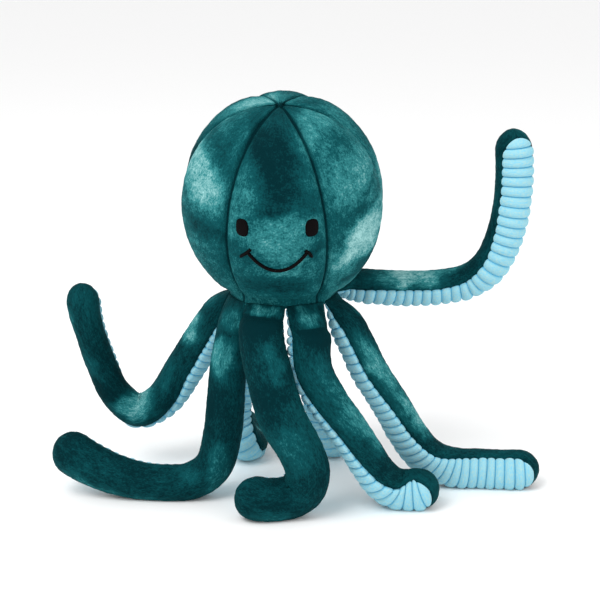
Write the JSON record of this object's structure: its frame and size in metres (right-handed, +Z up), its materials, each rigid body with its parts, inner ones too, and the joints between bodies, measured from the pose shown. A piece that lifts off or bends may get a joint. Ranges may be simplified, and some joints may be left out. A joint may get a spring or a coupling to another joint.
{
  "type": "plush octopus",
  "caption": "Free-standing stuffed octopus with a round gored plush head, embroidered eyes and smile, and curling arms with ribbed undersides.",
  "frame": {"origin": "on the floor under the middle of the whole toy", "axes": "+Z up, -Y the way the face looks, +X to the right as seen from the front, along the longest side"},
  "size_m": [0.3266, 0.1846, 0.2696],
  "materials": {
    "plush": "short-pile crushed plush, dark teal with a paler sheen",
    "ribbed_fabric": "wide-rib corduroy, pale blue with darker grooves",
    "embroidery": "satin stitch in near-black thread",
    "stuffing": "loose white polyester fibre"
  },
  "bodies": {
    "head": {"head_gore_front": "plush", "head_gore_front_right": "plush", "head_gore_back_right": "plush", "head_gore_back": "plush", "head_gore_back_left": "plush", "head_gore_front_left": "plush", "head_filling": "stuffing", "left_eye": "embroidery", "right_eye": "embroidery", "smile": "embroidery", "base_panel": "ribbed_fabric"},
    "arm_1": {"arm_1_plush_top": "plush", "arm_1_ribbed_underside": "ribbed_fabric", "arm_1_filling": "stuffing"},
    "arm_2": {"arm_2_plush_top": "plush", "arm_2_ribbed_underside": "ribbed_fabric", "arm_2_filling": "stuffing"},
    "arm_3": {"arm_3_plush_top": "plush", "arm_3_ribbed_underside": "ribbed_fabric", "arm_3_filling": "stuffing"},
    "arm_4": {"arm_4_plush_top": "plush", "arm_4_ribbed_underside": "ribbed_fabric", "arm_4_filling": "stuffing"},
    "arm_5": {"arm_5_plush_top": "plush", "arm_5_ribbed_underside": "ribbed_fabric", "arm_5_filling": "stuffing"},
    "arm_6": {"arm_6_plush_top": "plush", "arm_6_ribbed_underside": "ribbed_fabric", "arm_6_filling": "stuffing"},
    "arm_7": {"arm_7_plush_top": "plush", "arm_7_ribbed_underside": "ribbed_fabric", "arm_7_filling": "stuffing"},
    "arm_8": {"arm_8_plush_top": "plush", "arm_8_ribbed_underside": "ribbed_fabric", "arm_8_filling": "stuffing"}
  },
  "joints": [
    {"name": "arm_1_seam", "type": "hinge", "parent": "head", "child": "arm_1", "pos_m": [-0.04082, -0.01017, 0.137], "axis": [0.3338, 0.9426, 0], "range_deg": [-10, 45]},
    {"name": "arm_2_seam", "type": "hinge", "parent": "head", "child": "arm_2", "pos_m": [-0.0395, -0.03537, 0.137], "axis": [-0.4305, 0.9026, 0], "range_deg": [-5, 70]},
    {"name": "arm_3_seam", "type": "hinge", "parent": "head", "child": "arm_3", "pos_m": [-0.02074, -0.05225, 0.137], "axis": [-0.9426, 0.3338, 0], "range_deg": [0, 55]},
    {"name": "arm_4_seam", "type": "hinge", "parent": "head", "child": "arm_4", "pos_m": [0.00446, -0.05093, 0.137], "axis": [-0.9026, -0.4305, 0], "range_deg": [-5, 75]},
    {"name": "arm_5_seam", "type": "hinge", "parent": "head", "child": "arm_5", "pos_m": [0.02134, -0.03218, 0.137], "axis": [-0.3338, -0.9426, 0], "range_deg": [-15, 45]},
    {"name": "arm_6_seam", "type": "hinge", "parent": "head", "child": "arm_6", "pos_m": [0.02002, -0.00698, 0.137], "axis": [0.4305, -0.9026, 0], "range_deg": [-50, 0]},
    {"name": "arm_7_seam", "type": "hinge", "parent": "head", "child": "arm_7", "pos_m": [0.00127, 0.00991, 0.137], "axis": [0.9426, -0.3338, 0], "range_deg": [-10, 70]},
    {"name": "arm_8_seam", "type": "hinge", "parent": "head", "child": "arm_8", "pos_m": [-0.02393, 0.00859, 0.137], "axis": [0.9026, 0.4305, 0], "range_deg": [-10, 75]}
  ]
}
